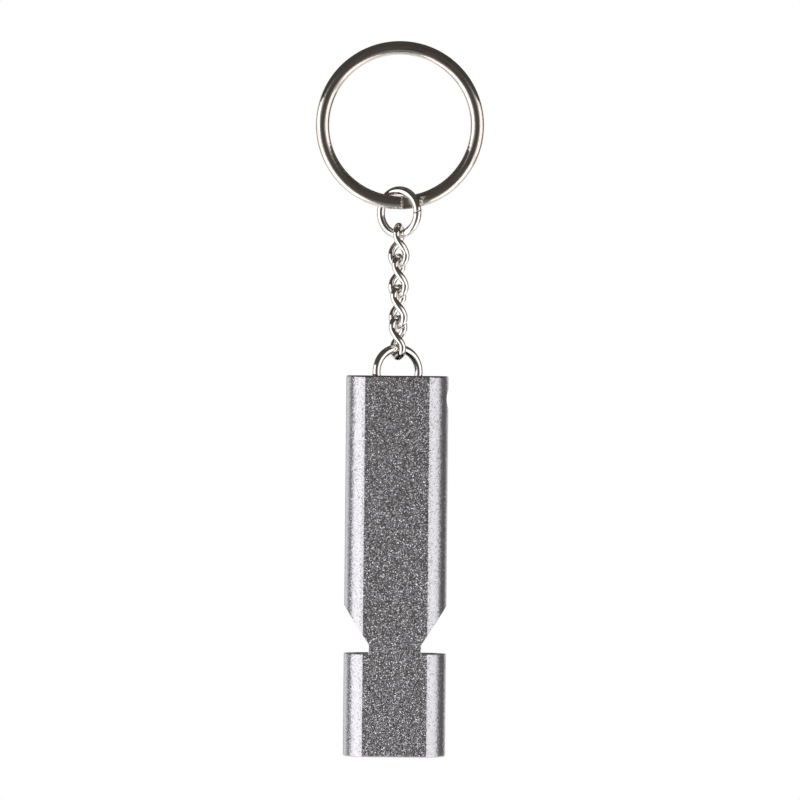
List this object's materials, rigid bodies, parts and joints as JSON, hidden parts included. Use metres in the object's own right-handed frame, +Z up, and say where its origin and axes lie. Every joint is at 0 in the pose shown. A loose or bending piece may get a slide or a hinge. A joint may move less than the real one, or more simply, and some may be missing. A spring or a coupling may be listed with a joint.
{
  "type": "safety whistle",
  "caption": "Flat twin-bore metal whistle with side notches, on a short twisted chain with a split ring.",
  "frame": {"origin": "hook point at the top of the inside of the split ring, from which the whistle hangs", "axes": "+Z up along the hanging chain, +X to the right across the wide flat face, +Y from the front flat face to the back one"},
  "size_m": [0.025, 0.0078, 0.1062],
  "materials": {
    "ring_metal": "polished nickel plating",
    "body_metal": "sandblasted and anodised dark grey",
    "plug_metal": "plain turned aluminium, anodised grey"
  },
  "bodies": {
    "key_ring": {"key_ring": "ring_metal"},
    "chain_ring": {"chain_ring": "ring_metal"},
    "chain_link_1": {"chain_link_1": "ring_metal"},
    "chain_link_2": {"chain_link_2": "ring_metal"},
    "chain_link_3": {"chain_link_3": "ring_metal"},
    "chain_link_4": {"chain_link_4": "ring_metal"},
    "body_ring": {"body_ring": "ring_metal"},
    "whistle": {"whistle_body": "body_metal", "windway_plug_left": "plug_metal", "windway_plug_right": "plug_metal", "stopper_left": "plug_metal", "stopper_right": "plug_metal"}
  },
  "joints": [
    {"name": "chain_ring_turn", "type": "hinge", "parent": "key_ring", "child": "chain_ring", "pos_m": [0, 0.0003, -0.02345], "axis": [0, 0, 1], "range_deg": [-80, 0]},
    {"name": "link_1_slide", "type": "hinge", "parent": "chain_ring", "child": "chain_link_1", "pos_m": [0, 0.0003, -0.02345], "axis": [0.5592, 0.829, 0], "range_deg": [-60, 60]},
    {"name": "link_2_swing", "type": "hinge", "parent": "chain_link_1", "child": "chain_link_2", "pos_m": [0, 0.0003, -0.03119], "axis": [0.8572, -0.515, 0], "range_deg": [-60, 60]},
    {"name": "link_3_swing", "type": "hinge", "parent": "chain_link_2", "child": "chain_link_3", "pos_m": [0, 0.0003, -0.03462], "axis": [-0.5299, -0.848, 0], "range_deg": [-60, 60]},
    {"name": "link_4_swing", "type": "hinge", "parent": "chain_link_3", "child": "chain_link_4", "pos_m": [0, 0.0003, -0.04031], "axis": [0.6947, -0.7193, 0], "range_deg": [-60, 60]},
    {"name": "body_ring_swing", "type": "hinge", "parent": "chain_link_4", "child": "body_ring", "pos_m": [0, 0.0003, -0.04365], "axis": [0.8988, 0.4384, 0], "range_deg": [-60, 60]},
    {"name": "whistle_swing", "type": "hinge", "parent": "body_ring", "child": "whistle", "pos_m": [0, 0.0003, -0.04712], "axis": [-0.4384, 0.8988, 0], "range_deg": [-60, 60]}
  ]
}
